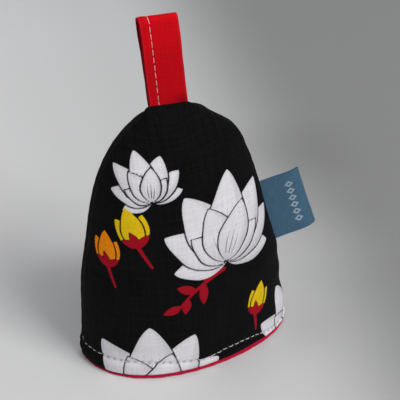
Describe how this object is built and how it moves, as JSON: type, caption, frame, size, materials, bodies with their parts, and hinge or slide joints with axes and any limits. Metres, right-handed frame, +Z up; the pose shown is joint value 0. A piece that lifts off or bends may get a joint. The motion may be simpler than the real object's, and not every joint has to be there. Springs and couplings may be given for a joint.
{
  "type": "egg cosy",
  "caption": "Padded two-panel cloth egg cosy: a hollow dome open at the hem, with a hanging loop in the top seam and a folded side label.",
  "frame": {"origin": "on the surface it stands on, under the middle of the whole piece", "axes": "+Z up to the hanging loop, -Y out of the front panel, +X towards the seam with the side label"},
  "size_m": [0.0904, 0.0468, 0.1333],
  "materials": {
    "printed_cotton": "matte plain weave, black with a pale floral print",
    "lining_cotton": "matte plain weave",
    "strap_cotton": "matte plain weave, pale topstitch",
    "woven_ribbon": "soft satin ribbon"
  },
  "bodies": {
    "root": {"front_panel": "printed_cotton", "back_panel": "printed_cotton", "front_lining": "lining_cotton", "back_lining": "lining_cotton", "hanging_loop": "strap_cotton", "side_label": "woven_ribbon"}
  },
  "joints": []
}
